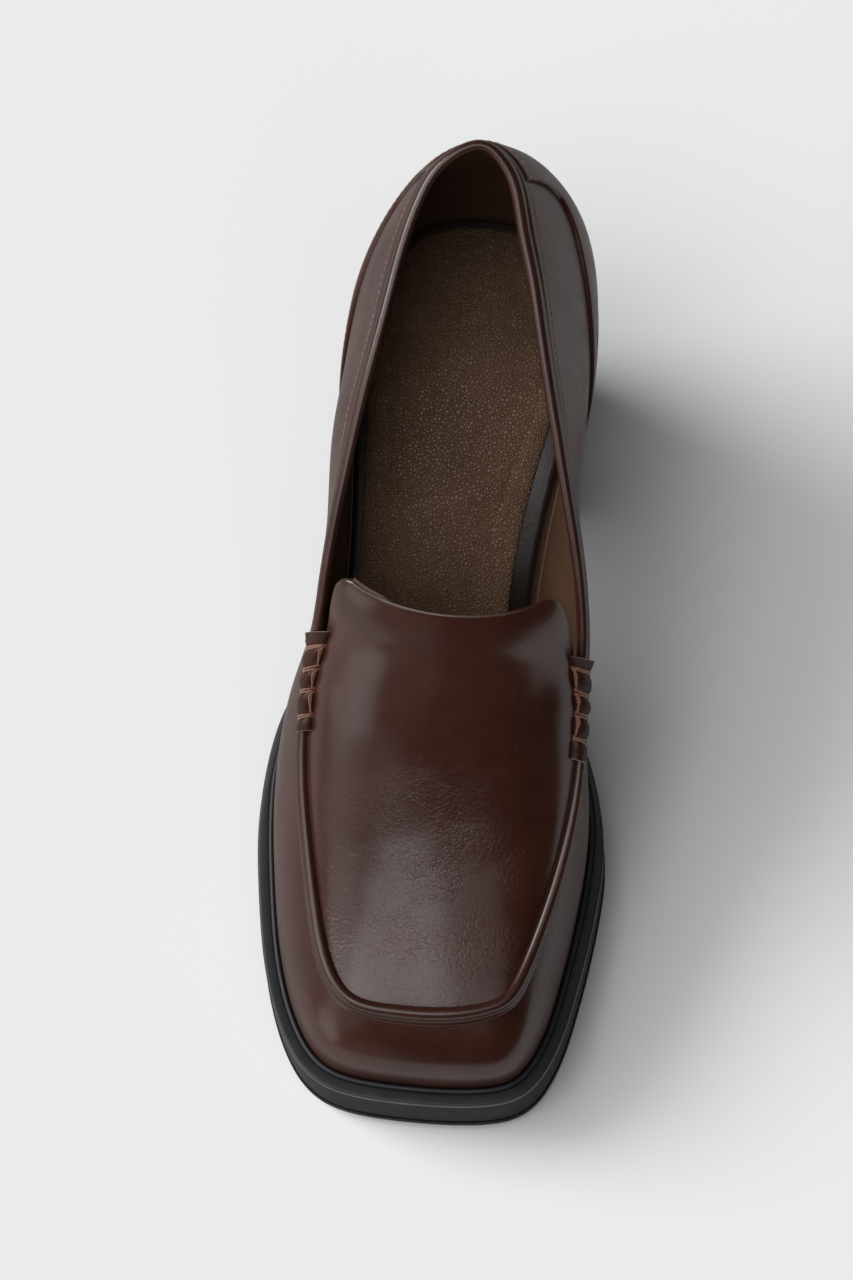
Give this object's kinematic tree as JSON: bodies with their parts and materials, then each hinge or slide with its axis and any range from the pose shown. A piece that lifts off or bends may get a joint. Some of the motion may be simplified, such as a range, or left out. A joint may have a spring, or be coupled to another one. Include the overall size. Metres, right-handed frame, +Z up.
{
  "type": "heeled loafer pump",
  "caption": "Right slip-on loafer pump: square toe, raised apron seam with stitched side rolls, free flap, heel counter, bound collar, platform sole with welt ledge and tall block heel.",
  "frame": {"origin": "centre of the shoe's outline in plan, on the ground plane that it stands on", "axes": "+Z up, toe towards -Y, heel towards +Y, big-toe side towards +X"},
  "size_m": [0.096, 0.2426, 0.1353],
  "materials": {
    "polished_leather": "polished, deep reddish brown",
    "binding_leather": "polished, dark brown",
    "footbed_leather": "glossy, dark brown",
    "sock_leather": "pebbled, olive brown",
    "black_rubber": "semi-matte black",
    "heel_tip_rubber": "matte black"
  },
  "bodies": {
    "root": {"outsole": "black_rubber", "platform": "black_rubber", "welt": "black_rubber", "heel_block": "black_rubber", "heel_tip": "heel_tip_rubber", "insole": "footbed_leather", "sock": "sock_leather", "upper": "polished_leather", "heel_counter": "polished_leather", "collar_binding": "binding_leather", "apron_piping": "binding_leather", "side_roll_medial": "binding_leather", "side_roll_lateral": "binding_leather"}
  },
  "joints": []
}
